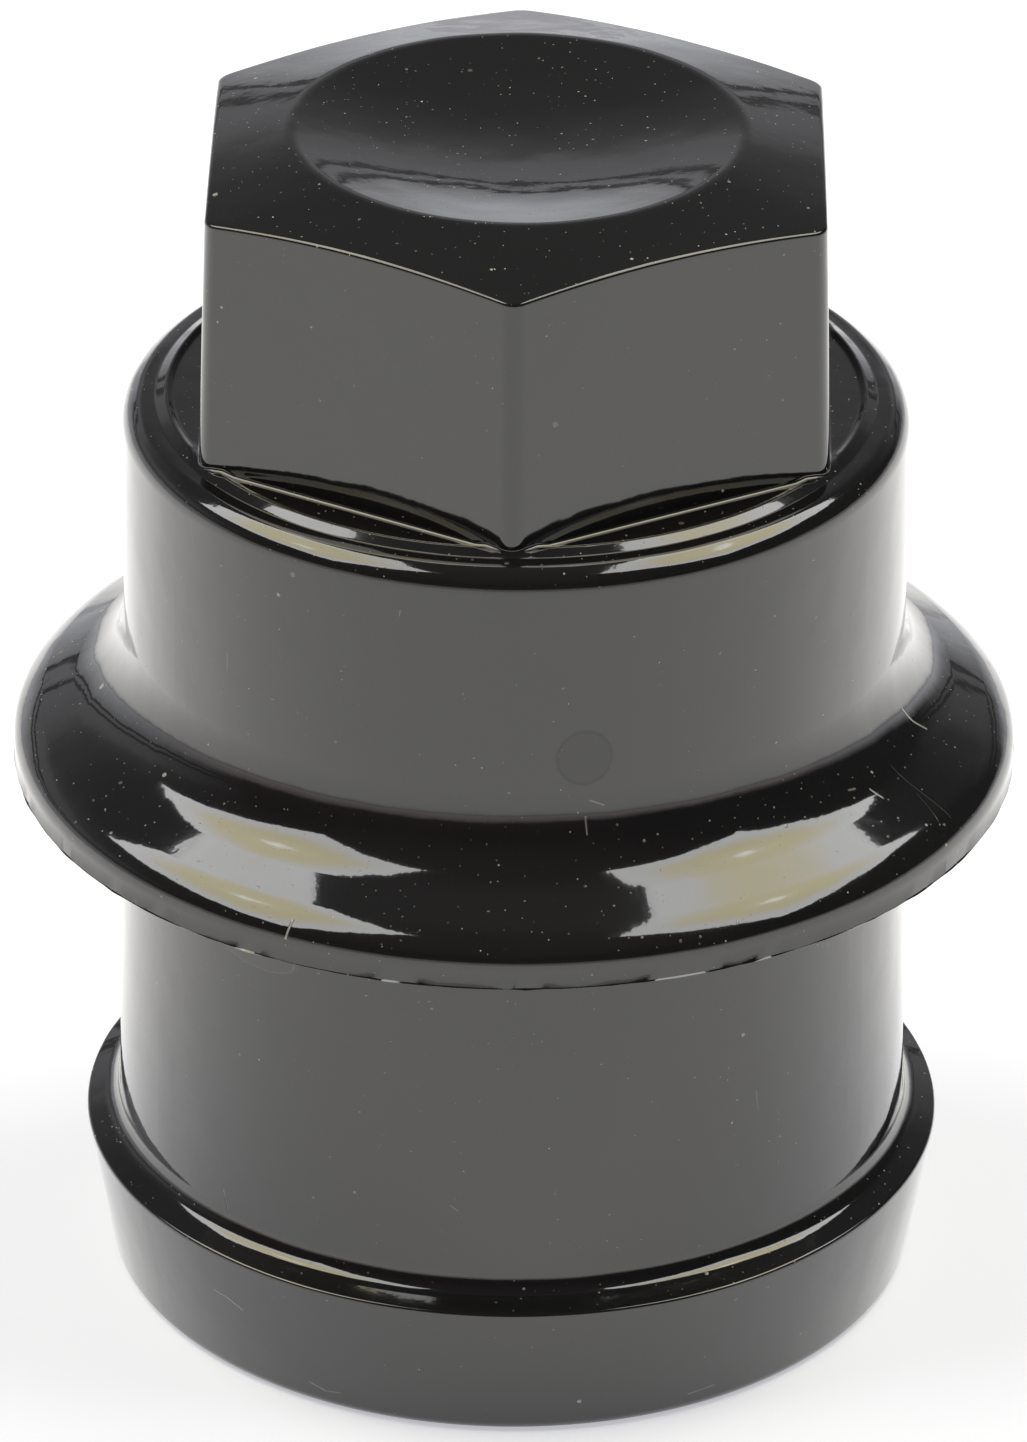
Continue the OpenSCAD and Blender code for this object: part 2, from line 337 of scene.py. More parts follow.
def hexagon_radius(azimuth, apothem):
    """Distance from the axis to a hexagon with rounded corners, one of them towards -Y."""
    turn = (azimuth + math.pi / 2) % (math.pi / 3)
    from_corner = min(turn, math.pi / 3 - turn)
    corner_centre = (apothem - HEX_CORNER_ROUND) / math.cos(math.pi / 6)
    flat_end = math.atan2((apothem - HEX_CORNER_ROUND) * math.tan(math.pi / 6), apothem)
    from_flat = math.pi / 6 - from_corner
    if from_flat <= flat_end:
        return apothem / math.cos(from_flat)
    across = corner_centre * math.sin(from_corner)
    return corner_centre * math.cos(from_corner) + math.sqrt(HEX_CORNER_ROUND ** 2 - across ** 2)


def apothem_at(height):
    return FOOT_APOTHEM - (height - FOOT_HEIGHT) * tan(HEX_DRAFT)


def crown_height(radius):
    return CORNER_HEIGHT + (TOP_CORNER_RADIUS - radius) * tan(CROWN_SLOPE)


def top_edge(azimuth):
    """Radius and height at which a flat or corner would meet the crown, were its edge sharp."""
    height = CORNER_HEIGHT
    for _ in range(4):
        radius = hexagon_radius(azimuth, apothem_at(height))
        height = crown_height(radius)
    return Vector((radius, height))


def height_on(outline, radius):
    """Height of an outline that runs inwards, at a radius."""
    for outer, inner in zip(outline, outline[1:]):
        if inner.x <= radius <= outer.x:
            share = (outer.x - radius) / max(outer.x - inner.x, 1e-9)
            return outer.y + (inner.y - outer.y) * share
    return outline[-1].y


def dish_outline():
    """The dish from the crown's cone to near its middle: rounded rim, cone and bowl."""
    rim = Vector((DISH_RADIUS, DISH_RIM_HEIGHT))
    outer = Vector((DISH_RADIUS + 1, crown_height(DISH_RADIUS + 1)))
    fall = tan(DISH_RIM_SLOPE)
    inner = Vector((DISH_RADIUS - 1, DISH_RIM_HEIGHT - fall))
    reach = full_reach(outer, rim, inner, DISH_RIM_ROUND)
    points = round_corner(outer, rim, inner, reach, DISH_RIM_STEP)
    for share in (0.25, 0.5, 0.75):
        radius = points[-1].x + (DISH_BOWL_RADIUS - points[-1].x) * share
        points.append(Vector((radius, DISH_RIM_HEIGHT - (DISH_RADIUS - radius) * fall)))
    for i in range(BOWL_RINGS):
        radius = DISH_BOWL_RADIUS * (1 - i / BOWL_RINGS)
        points.append(Vector((radius, DISH_MIDDLE + fall * radius ** 2 / (2 * DISH_BOWL_RADIUS))))
    return points


def foot_radius(azimuth):
    """Distance from the axis at which the fillet round the hexagon's foot starts."""
    return hexagon_radius(azimuth, FOOT_APOTHEM) + HEX_FOOT_FILLET


def foot_row(ground, degrees):
    """Ring of the fillet at the hexagon's foot, turned so far up from the ground."""
    turn = math.radians(degrees)

    def place(azimuth):
        radius = foot_radius(azimuth)
        back = HEX_FOOT_FILLET * math.sin(turn)
        rise = HEX_FOOT_FILLET * (1 - math.cos(turn))
        return Vector((radius - back, height_on(ground, radius) + rise))
    return place


def wall_row(ground, share):
    """Ring on the flats, at a share of the way up them."""
    def place(azimuth):
        low = height_on(ground, foot_radius(azimuth)) + HEX_FOOT_FILLET
        high = top_edge(azimuth).y - TOP_EDGE_REACH
        height = low + (high - low) * share
        return Vector((hexagon_radius(azimuth, apothem_at(height)), height))
    return place


def edge_row(index):
    """Ring of the rounding between the flats and the crown."""
    def place(azimuth):
        edge = top_edge(azimuth)
        below = Vector((hexagon_radius(azimuth, apothem_at(edge.y - 1)), edge.y - 1))
        inside = Vector((edge.x - 1, crown_height(edge.x - 1)))
        reach = full_reach(below, edge, inside, HEX_TOP_EDGE)
        return round_corner(below, edge, inside, reach, TOP_EDGE_STEP)[index]
    return place


def crown_row(share, inner):
    """Ring on the crown's cone, at a share of the way in to the dish."""
    def place(azimuth):
        start = top_edge(azimuth).x - TOP_EDGE_REACH
        radius = start + (inner - start) * share
        return Vector((radius, crown_height(radius)))
    return place


def head_rows(ground):
    """One function of the azimuth for each ring of the head, from its foot to the dish."""
    inner = dish_outline()[0].x
    rows = [foot_row(ground, degrees) for degrees in range(0, 91, FOOT_STEP)]
    rows += [wall_row(ground, share) for share in WALL_SHARES]
    rows += [edge_row(index) for index in range(TOP_EDGE_RINGS)]
    return rows + [crown_row(share, inner) for share in CROWN_SHARES]


# Thread and skin

def thread_depth(azimuth, height):
    """How far the thread is cut into its wall: a right-handed metric groove with flat root and crest."""
    turns = (height - THREAD_START) / THREAD_PITCH - azimuth / (2 * math.pi)
    phase = abs((turns % 1.0) - 0.5) * 2
    flank = (phase - CREST_FLAT) / (1 - CREST_FLAT - ROOT_FLAT)
    full = CREST_DEPTH_SHARE * THREAD_PITCH
    start_fade = (height - THREAD_START) / THREAD_PITCH
    end_fade = (THREAD_END - height) / THREAD_PITCH
    fade = max(0.0, min(1.0, start_fade, end_fade))
    return full * min(1.0, max(0.0, flank)) * fade


def unevenness(point):
    """Slow waves of a shrunk moulding, in millimetres, on the outside only."""
    heights = [share * noise.noise(point * cells + Vector(origin)) for cells, share, origin in WAVES]
    return SINK_DEPTH * sum(heights)


def sector_azimuths():
    """Azimuths of the mesh's columns, closer together at the six rounded corners."""
    zone = math.radians(CORNER_ZONE)
    half = math.pi / 6
    flat_columns = SECTOR_COLUMNS - CORNER_COLUMNS
    steps = [-zone + 2 * zone * i / CORNER_COLUMNS for i in range(CORNER_COLUMNS)]
    span = 2 * (half - zone)
    steps += [zone + span * i / flat_columns for i in range(flat_columns)]
    return [-math.pi / 2 + math.pi / 3 * k + s for k in range(6) for s in steps]


# Modelling

def first_ring(point):
    """Adds the circle that the cap is drawn up from, with its points moved to the columns."""
    columns = sector_azimuths()
    bpy.ops.object.select_all(action="DESELECT")
    bpy.ops.mesh.primitive_circle_add(vertices=len(columns), radius=point.x * MM,
                                      location=(0, 0, point.y * MM))
    cap = bpy.context.active_object
    bpy.ops.object.transform_apply(location=True, rotation=True, scale=True)
    for vertex, azimuth in zip(cap.data.vertices, columns):
        vertex.co.x = point.x * MM * math.cos(azimuth)
        vertex.co.y = point.x * MM * math.sin(azimuth)
    return cap


def next_ring(cap, place):
    """Extrudes the selected ring and moves each new point to where the row's function says."""
    bpy.ops.mesh.extrude_edges_move()
    mesh = bmesh.from_edit_mesh(cap.data)
    for vertex in mesh.verts[-6 * SECTOR_COLUMNS:]:
        azimuth = math.atan2(vertex.co.y, vertex.co.x)
        spot = place(azimuth)
        vertex.co = Vector((spot.x * math.cos(azimuth), spot.x * math.sin(azimuth), spot.y)) * MM


def fixed(point):
    return lambda azimuth: point


def flash_row(point):
    """A ring whose points stand out as ragged flash, with a few burrs."""
    def place(azimuth):
        front = math.degrees(azimuth) + 90
        ragged = FLASH_EVEN + FLASH_RAGGED * noise.noise(Vector((front * RAGS_PER_DEGREE, 4.2, 0)))
        reach = FLASH_REACH * max(0.0, ragged)
        for middle, height, half_width in BURRS:
            away = abs((front - middle + 180) % 360 - 180) / half_width
            reach = max(reach, height * (1 - away))
        return point + Vector((reach, 0))
    return place


def close_to_axis():
    """Closes the last ring on a single point of the axis."""
    bpy.ops.mesh.extrude_edges_move()
    bpy.ops.mesh.merge(type="CENTER")


def ground_row(ground, index):
    """Ring of the shoulder, pushed out where the hexagon's foot stands in its way."""
    rings_left = len(ground) + len(FLOOR_SHARES) - index

    def place(azimuth):
        radius = max(ground[index].x, foot_radius(azimuth) + SQUEEZE * rings_left)
        return Vector((radius, height_on(ground, radius)))
    return place


def floor_row(ground, index):
    """Ring of a pocket's floor, on the way in to the hexagon's foot."""
    rings_left = len(FLOOR_SHARES) - index

    def place(azimuth):
        foot = foot_radius(azimuth)
        inner = ground[-1].x + (foot - ground[-1].x) * FLOOR_SHARES[index]
        radius = max(inner, foot + SQUEEZE * rings_left)
        return Vector((radius, height_on(ground, radius)))
    return place


def draw_outside(cap, outline):
    """Draws the skin from the mouth's rim up to the middle of the dish."""
    start = next(i for i, point in enumerate(outline) if point.y > SHOULDER_EDGE + GROUND_START)
    ground = outline[start:]
    for point in outline[1:start]:
        at_flash = point.x > FLANGE_RADIUS - 0.001 and point.y < FLANGE_SEAT + FLASH_ROOT
        next_ring(cap, flash_row(point) if at_flash else fixed(point))
    for index in range(len(ground)):
        next_ring(cap, ground_row(ground, index))
    for index in range(len(FLOOR_SHARES)):
        next_ring(cap, floor_row(ground, index))
    for place in head_rows(ground):
        next_ring(cap, place)
    for point in dish_outline():
        next_ring(cap, fixed(point))
    close_to_axis()


def thread_row(height):
    def place(azimuth):
        return Vector((CREST_RADIUS + thread_depth(azimuth, height), height))
    return place


def draw_inside(cap):
    """Draws the mouth, the thread and the hollow, up to the hollow's ceiling."""
    lower, upper = bore_outline()
    rings = round(THREAD_LENGTH / THREAD_PITCH * RINGS_PER_PITCH)
    for point in lower[1:]:
        next_ring(cap, fixed(point))
    for i in range(1, rings):
        next_ring(cap, thread_row(THREAD_START + THREAD_LENGTH * i / rings))
    for point in upper:
        next_ring(cap, fixed(point))
    close_to_axis()


def make_cap():
    """The whole moulding, drawn ring by ring up its outside and then up its bore."""
    outline = lathe_outline()
    cap = first_ring(outline[0])
    cap.name = "cap_moulding"
    bpy.ops.object.mode_set(mode="EDIT")
    bpy.ops.mesh.select_mode(type="EDGE")
    bpy.ops.mesh.select_all(action="SELECT")
    draw_outside(cap, outline)
    bpy.ops.mesh.select_all(action="DESELECT")
    bpy.ops.mesh.select_non_manifold(extend=False, use_wire=False, use_boundary=True,
                                     use_multi_face=False, use_non_contiguous=False,
                                     use_verts=False)
    draw_inside(cap)
    bpy.ops.mesh.select_all(action="SELECT")
    bpy.ops.mesh.normals_make_consistent(inside=False)
    bpy.ops.object.mode_set(mode="OBJECT")
    roughen(cap)
    bpy.ops.object.shade_smooth_by_angle(angle=math.radians(SMOOTH_ANGLE))
    return cap


def roughen(cap):
    """Gives the outside the slow waves of a moulding, so that its reflections wander a little."""
    mesh = cap.data
    normals = [v.normal.copy() for v in mesh.vertices]
    for vertex, normal in zip(mesh.vertices, normals):
        point = vertex.co / MM
        radius = math.hypot(point.x, point.y)
        outside = radius > SKIN_RADIUS or point.z > SKIN_TOP
        if outside and point.z > SINK_START:
            vertex.co = vertex.co + normal * unevenness(point) * MM


# Shader nodes

def new_group(name, inputs, outputs):
    """A shader node group with named sockets, and its two end nodes."""
    group = bpy.data.node_groups.new(name, "ShaderNodeTree")
    for label, kind, value in inputs:
        socket = group.interface.new_socket(label, in_out="INPUT", socket_type=kind)
        socket.default_value = value
    for label in outputs:
        group.interface.new_socket(label, in_out="OUTPUT", socket_type="NodeSocketFloat")
    start = group.nodes.new("NodeGroupInput")
    end = group.nodes.new("NodeGroupOutput")
    return group, start.outputs, end.inputs


def feed(tree, socket, value):
    """Gives a socket a value, or links another socket to it."""
    if isinstance(value, bpy.types.NodeSocket):
        tree.links.new(value, socket)
    else:
        socket.default_value = value


def place_group(tree, group, values):
    """Places a node group, with a value or socket for each named input; gives its outputs."""
    node = tree.nodes.new("ShaderNodeGroup")
    node.node_tree = group
    for label, value in values.items():
        feed(tree, node.inputs[label], value)
    return node.outputs


def math_node(tree, operation, *values, clamp=False):
    """A Math node fed by sockets or numbers; gives its output."""
    node = tree.nodes.new("ShaderNodeMath")
    node.operation = operation
    node.use_clamp = clamp
    for socket, value in zip(node.inputs, values):
        feed(tree, socket, value)
    return node.outputs[0]


def vector_node(tree, operation, *sockets):
    """A Vector Math node fed by sockets; gives its outputs."""
    node = tree.nodes.new("ShaderNodeVectorMath")
    node.operation = operation
    for socket, value in zip(node.inputs, sockets):
        tree.links.new(value, socket)
    return node.outputs


def parts_of(tree, vector):
    """The X, Y and Z of a vector."""
    node = tree.nodes.new("ShaderNodeSeparateXYZ")
    tree.links.new(vector, node.inputs[0])
    return node.outputs


def mix_node(tree, share, first, second):
    """A Mix node between two colours, each a colour or a socket; gives its output."""
    node = tree.nodes.new("ShaderNodeMix")
    node.data_type = "RGBA"
    tree.links.new(share, node.inputs[0])
    for socket, colour in zip(node.inputs[6:8], (first, second)):
        feed(tree, socket, (*colour, 1) if isinstance(colour, tuple) else colour)
    return node.outputs[2]


def ramp_node(tree, share, stops):
    """A Color Ramp node with a stop for each place and colour; gives its colour."""
    node = tree.nodes.new("ShaderNodeValToRGB")
    tree.links.new(share, node.inputs[0])
    elements = node.color_ramp.elements
    elements.remove(elements[1])
    for index, (place, colour) in enumerate(stops):
        if index:
            elements.new(1.0)
        elements[index].position = place
        elements[index].color = (*colour, 1)
    return node.outputs["Color"]


def noise_node(tree, place, cells, detail):
    """A Noise Texture node with so many cells to the unit; gives its value."""
    node = tree.nodes.new("ShaderNodeTexNoise")
    node.inputs["Scale"].default_value = cells
    node.inputs["Detail"].default_value = detail
    tree.links.new(place, node.inputs["Vector"])
    return node.outputs["Fac"]


def brightest(tree, masks):
    """The highest of several masks."""
    highest = masks[0]
    for mask in masks[1:]:
        highest = math_node(tree, "MAXIMUM", highest, mask)
    return highest


def new_material(name):
    material = bpy.data.materials.new(name)
    material.use_nodes = True
    tree = material.node_tree
    return material, tree, tree.nodes["Principled BSDF"].inputs


# Dust, fibres and marks on the plastic

# Dust in cells to the metre, speck radius in cells, and share of the cells that hold a speck
DUST = ((3300, 0.125, 1.0), (1500, 0.095, 1.0), (680, 0.085, 0.9))

# How much more of it lies on a level face than on an upright one, and how much lies on that
DUST_SETTLES = 1.1
DUST_CLINGS = 0.3

# Least size of a speck beside the largest, how sharp its edge is, and how bright the dullest and the
# brightest are, with few of the bright ones
LEAST_SPECK = 0.3
SPECK_EDGE = 60.0
DULL_SPECK = 0.16
BRIGHT_SPECK = 0.96
BRIGHT_RARITY = 2.5


def dust_group():
    """Specks of dust: a mask from cells of random size, thinned by a share."""
    group, given, wanted = new_group(
        "dust_specks",
        [("Vector", "NodeSocketVector", (0, 0, 0)), ("Cells", "NodeSocketFloat", 400.0),
         ("Speck", "NodeSocketFloat", 0.05), ("Share", "NodeSocketFloat", 0.3)],
        ["Mask"])
    cells = group.nodes.new("ShaderNodeTexVoronoi")
    cells.feature = "F1"
    group.links.new(given["Vector"], cells.inputs["Vector"])
    group.links.new(given["Cells"], cells.inputs["Scale"])
    chance = group.nodes.new("ShaderNodeSeparateColor")
    group.links.new(cells.outputs["Color"], chance.inputs["Color"])
    size = math_node(group, "MULTIPLY_ADD", chance.outputs["Red"], 1 - LEAST_SPECK, LEAST_SPECK)
    size = math_node(group, "MULTIPLY", size, given["Speck"])
    kept = math_node(group, "LESS_THAN", chance.outputs["Green"], given["Share"])
    inside = math_node(group, "SUBTRACT", size, cells.outputs["Distance"])
    soft = math_node(group, "MULTIPLY", inside, SPECK_EDGE, clamp=True)
    mask = math_node(group, "MULTIPLY", soft, kept)
    bright = math_node(group, "POWER", chance.outputs["Blue"], BRIGHT_RARITY)
    bright = math_node(group, "MULTIPLY_ADD", bright, BRIGHT_SPECK - DULL_SPECK, DULL_SPECK)
    group.links.new(math_node(group, "MULTIPLY", mask, bright), wanted["Mask"])
    return group


def dust_masks(tree, place):
    """Dust in three sizes, less of it on upright faces."""
    upright = parts_of(tree, tree.nodes.new("ShaderNodeTexCoord").outputs["Normal"])
    settled = math_node(tree, "MULTIPLY_ADD", upright["Z"], DUST_SETTLES, DUST_CLINGS, clamp=True)
    group = dust_group()
    masks = []
    for cells, speck, share in DUST:
        thinned = math_node(tree, "MULTIPLY", settled, share)
        values = {"Vector": place, "Cells": cells, "Speck": speck, "Share": thinned}
        masks.append(place_group(tree, group, values)["Mask"])
    return masks


# Fibres, hairs and fine scratches: azimuth from the front and height of both ends, half width in
# millimetres, and strength
FIBRES = ((11.4, 25.25, 13.4, 25.05, 0.05, 0.5), (10.7, 24.7, 10.8, 24.1, 0.04, 0.5),
          (-45.0, 28.8, -45.1, 28.1, 0.03, 0.25), (-15.8, 32.42, -15.9, 32.2, 0.04, 0.3),
          (73.0, 23.9, 73.5, 23.4, 0.05, 0.8), (73.5, 23.4, 74.7, 23.0, 0.05, 0.8),
          (-25.0, 21.62, -25.3, 21.05, 0.045, 0.9),
          (62.4, 23.1, 62.1, 21.7, 0.025, 0.12), (61.5, 22.4, 59.8, 21.75, 0.02, 0.1),
          (55.9, 22.98, 56.5, 22.72, 0.04, 0.5), (52.4, 23.25, 53.6, 23.2, 0.04, 0.4),
          (-43.4, 3.6, -40.8, 3.52, 0.04, 0.35), (-41.2, 3.56, -38.4, 3.28, 0.04, 0.45),
          (-28.2, 0.98, -25.8, 0.78, 0.04, 0.4), (-25.8, 0.78, -23.6, 0.85, 0.04, 0.3),
          (26.1, 0.8, 30.2, 0.9, 0.04, 0.35), (-45.1, 7.2, -44.2, 6.4, 0.03, 0.4),
          (-8.0, 9.1, -6.9, 8.9, 0.035, 0.3), (38.0, 12.2, 38.4, 11.4, 0.03, 0.25))

# Round marks: azimuth, height, radius in millimetres, how many times as wide as high they are,
# and the strength of the disc and of its rim
WITNESS_MARK = (10.6, 26.93, 1.1, 1.0, 0.16, 0.3)
SCUFF_MARK = (-38.8, 17.45, 1.85, 3.2, 0.03, 0.1)

# How sharp the edges of a disc and of its rim are, and how far inside the edge the rim lies, as a
# share of the radius
DISC_EDGE = 6.0
RIM_EDGE = 12.0
RIM_INSET = 0.07

# Radius at which the skin is unrolled for the marks on it
UNROLL = 15 * MM


def unrolled(azimuth, height):
    """A point of the unrolled skin, from degrees from the front and millimetres up."""
    return (math.radians(azimuth) * UNROLL, height * MM, 0.0)


def around_axis(tree, place):
    """Coordinates of the skin unrolled round the axis: length round it and height."""
    parts = parts_of(tree, place)
    front = math_node(tree, "MULTIPLY", parts["Y"], -1.0)
    azimuth = math_node(tree, "ARCTAN2", parts["X"], front)
    flat = tree.nodes.new("ShaderNodeCombineXYZ")
    tree.links.new(math_node(tree, "MULTIPLY", azimuth, UNROLL), flat.inputs["X"])
    tree.links.new(parts["Z"], flat.inputs["Y"])
    return flat.outputs[0]


def line_group():
    """A straight hairline between two points: a mask that fades towards its sides and ends."""
    group, given, wanted = new_group(
        "hairline",
        [("Vector", "NodeSocketVector", (0, 0, 0)), ("Start", "NodeSocketVector", (0, 0, 0)),
         ("End", "NodeSocketVector", (0, 0, 1)), ("Width", "NodeSocketFloat", 0.00005)],
        ["Mask"])
    along = vector_node(group, "SUBTRACT", given["End"], given["Start"])[0]
    away = vector_node(group, "SUBTRACT", given["Vector"], given["Start"])[0]
    reach = vector_node(group, "DOT_PRODUCT", away, along)["Value"]
    square = vector_node(group, "DOT_PRODUCT", along, along)["Value"]
    share = math_node(group, "DIVIDE", reach, square, clamp=True)
    scaled = group.nodes.new("ShaderNodeVectorMath")
    scaled.operation = "SCALE"
    group.links.new(along, scaled.inputs[0])
    group.links.new(share, scaled.inputs["Scale"])
    gap = vector_node(group, "SUBTRACT", away, scaled.outputs[0])[0]
    length = vector_node(group, "LENGTH", gap)["Value"]
    ratio = math_node(group, "DIVIDE", length, given["Width"])
    group.links.new(math_node(group, "SUBTRACT", 1.0, ratio, clamp=True), wanted["Mask"])
    return group


def fibre_masks(tree, flat):
    """One faint line for each fibre and scratch."""
    group = line_group()
    masks = []
    for azimuth, height, end_azimuth, end_height, half_width, strength in FIBRES:
        values = {"Vector": flat, "Start": unrolled(azimuth, height),
                  "End": unrolled(end_azimuth, end_height), "Width": half_width * MM}
        line = place_group(tree, group, values)["Mask"]
        masks.append(math_node(tree, "MULTIPLY", line, strength))
    return masks


def spot_group():
    """A round or oval spot: a mask of its whole and one of its rim."""
    group, given, wanted = new_group(
        "round_mark",
        [("Vector", "NodeSocketVector", (0, 0, 0)), ("Centre", "NodeSocketVector", (0, 0, 0)),
         ("Radius", "NodeSocketFloat", 0.001), ("Stretch", "NodeSocketFloat", 1.0)],
        ["Disc", "Rim"])
    away = parts_of(group, vector_node(group, "SUBTRACT", given["Vector"], given["Centre"])[0])
    rise = math_node(group, "MULTIPLY", away["Y"], given["Stretch"])
    square = math_node(group, "MULTIPLY", rise, rise)
    square = math_node(group, "MULTIPLY_ADD", away["X"], away["X"], square)
    share = math_node(group, "DIVIDE", math_node(group, "SQRT", square), given["Radius"])
    inside = math_node(group, "SUBTRACT", 1.0, share)
    group.links.new(math_node(group, "MULTIPLY", inside, DISC_EDGE, clamp=True), wanted["Disc"])
    off_rim = math_node(group, "ABSOLUTE", math_node(group, "SUBTRACT", inside, RIM_INSET))
    rim = math_node(group, "MULTIPLY_ADD", off_rim, -RIM_EDGE, 1.0, clamp=True)
    group.links.new(rim, wanted["Rim"])
    return group


def spot_masks(tree, flat, group, mark):
    """The disc and the rim of a round mark, each at its strength."""
    azimuth, height, radius, stretch, disc, rim = mark
    spot = place_group(tree, group, {"Vector": flat, "Centre": unrolled(azimuth, height),
                                     "Radius": radius * MM, "Stretch": stretch})
    return [math_node(tree, "MULTIPLY", spot["Disc"], disc),
            math_node(tree, "MULTIPLY", spot["Rim"], rim)]


# Black plastic

# Its two tones, the colour of dust, and how both its skin and its gloss refract
TONES = ((0.009, 0.0088, 0.009), (0.013, 0.0125, 0.013))
DUST_COLOUR = (0.62, 0.60, 0.54)
PLASTIC_IOR = 1.5
GLOSS_ROUGHNESS = 0.02
MOTTLE_CELLS = 260

# Roughness of the plain skin, what the mottle adds to it, and what dust adds
SKIN_ROUGHNESS = 0.05
MOTTLE_ROUGHNESS = 0.06
DUST_ROUGHNESS = 0.7

# Orange peel: noise cells to the metre and their height in micrometres, and the height of dust
PEEL = ((420, 20.0), (950, 4.5), (3000, 1.6))
DUST_RELIEF = 12.0
MICROMETRE = 0.000001


def skin_normal(tree, place, specks):
    """Orange peel with dust on it, as a normal."""
    height = 0.0
    for cells, relief in PEEL:
        height = math_node(tree, "MULTIPLY_ADD", noise_node(tree, place, cells, 1), relief, height)
    height = math_node(tree, "MULTIPLY_ADD", specks, DUST_RELIEF, height)
    bump = tree.nodes.new("ShaderNodeBump")
    bump.inputs["Strength"].default_value = 1.0
    bump.inputs["Distance"].default_value = MICROMETRE
    tree.links.new(height, bump.inputs["Height"])
    return bump.outputs["Normal"]


def black_plastic():
    """Gloss black moulded plastic with orange peel, dust, fibres and two round marks."""
    material, tree, shader = new_material("black_plastic_gloss")
    shader["IOR"].default_value = PLASTIC_IOR
    shader["Coat IOR"].default_value = PLASTIC_IOR
    shader["Coat Roughness"].default_value = GLOSS_ROUGHNESS
    place = tree.nodes.new("ShaderNodeTexCoord").outputs["Object"]
    flat = around_axis(tree, place)
    spot = spot_group()
    scuff = spot_masks(tree, flat, spot, SCUFF_MARK)
    specks = brightest(tree, dust_masks(tree, place) + fibre_masks(tree, flat) + scuff)
    mottle = noise_node(tree, place, MOTTLE_CELLS, 4)
    tone = mix_node(tree, mottle, *TONES)
    tree.links.new(mix_node(tree, specks, tone, DUST_COLOUR), shader["Base Color"])

    # The witness mark is a patch with a thinner gloss
    thinner = math_node(tree, "ADD", *spot_masks(tree, flat, spot, WITNESS_MARK))
    tree.links.new(math_node(tree, "SUBTRACT", 1.0, thinner), shader["Coat Weight"])

    wander = math_node(tree, "MULTIPLY_ADD", mottle, MOTTLE_ROUGHNESS, SKIN_ROUGHNESS)
    rough = math_node(tree, "MULTIPLY_ADD", specks, DUST_ROUGHNESS, wander, clamp=True)
    tree.links.new(rough, shader["Roughness"])
    normal = skin_normal(tree, place, specks)
    tree.links.new(normal, shader["Normal"])
    tree.links.new(normal, shader["Coat Normal"])
    return material


# Floor

# Light that it adds for the camera and for reflections, so that it is white to both
FLOOR_GLOW = 0.46
FLOOR_GLOW_COLOUR = (0.99, 1.0, 1.05)
FLOOR_COLOUR = (0.835, 0.845, 0.907)
FLOOR_ROUGHNESS = 0.9
FLOOR_SIZE = 8
FLOOR_GAP = 0.02 * MM


def white_floor():
    """A floor that is white to the camera and to reflections, and keeps the cap's shadow."""
    bpy.ops.object.select_all(action="DESELECT")
    bpy.ops.mesh.primitive_plane_add(size=FLOOR_SIZE, location=(0, 0, -FLOOR_GAP))
    floor = bpy.context.active_object
    floor.name = "floor"
    material, tree, shader = new_material("white_floor")
    shader["Base Color"].default_value = (*FLOOR_COLOUR, 1)
    shader["Roughness"].default_value = FLOOR_ROUGHNESS
    shader["Specular IOR Level"].default_value = 0.0
    shader["Emission Color"].default_value = (*FLOOR_GLOW_COLOUR, 1)
    path = tree.nodes.new("ShaderNodeLightPath").outputs
    seen = math_node(tree, "MAXIMUM", path["Is Camera Ray"], path["Is Glossy Ray"])
    tree.links.new(math_node(tree, "MULTIPLY", seen, FLOOR_GLOW), shader["Emission Strength"])
    floor.data.materials.append(material)


# Studio

# Its grey levels by height in degrees: behind the cap a pale sweep that darkens upwards between two
# thin dark gaps, and over the camera a white table that ends low, under black
COOL = (0.99, 1.0, 1.05)
WARM = (1.12, 0.97, 0.97)
SWEEP_BEHIND = [(-90, 0.88), (-2, 0.88), (1, 0.68), (6, 0.56), (9, 0.44), (10.2, 0.42), (10.7, 0.05),
                (11.6, 0.06), (12.1, 0.36), (13.4, 0.34), (13.9, 0.06), (14.8, 0.07), (15.4, 0.30),
                (21, 0.29), (25, 0.17), (30, 0.13), (37, 0.09), (52, 0.09), (75, 0.13)]
DARK_OVER_CAMERA = [(-90, 0.86), (-1, 0.84), (5, 0.50), (8.5, 0.055), (25, 0.035), (60, 0.07)]

# How steeply the one side passes into the other, and where, by the direction's Y
SIDE_BLEND = 1.6
SIDE_MIDDLE = 0.35

# Above the horizon the studio darkens to the right: how steeply, and from which X of the direction
RIGHT_FADE = 2.3
RIGHT_START = 0.25
RIGHT_DARK = (0.03, 0.03, 0.032)
HORIZON_FADE = 10.0
HORIZON_START = 0.03

# Ripples in its heights, as noise cells and as a share of the height
RIPPLE_CELLS = 2.2
RIPPLE = 0.04


def level_ramp(tree, height, stops, tint):
    """A ramp of grey levels by the height of a direction above the horizon, given in degrees."""
    places = [0.5 + 0.5 * math.sin(math.radians(degrees)) for degrees, level in stops]
    colours = [tuple(level * part for part in tint) for degrees, level in stops]
    return ramp_node(tree, height, list(zip(places, colours)))


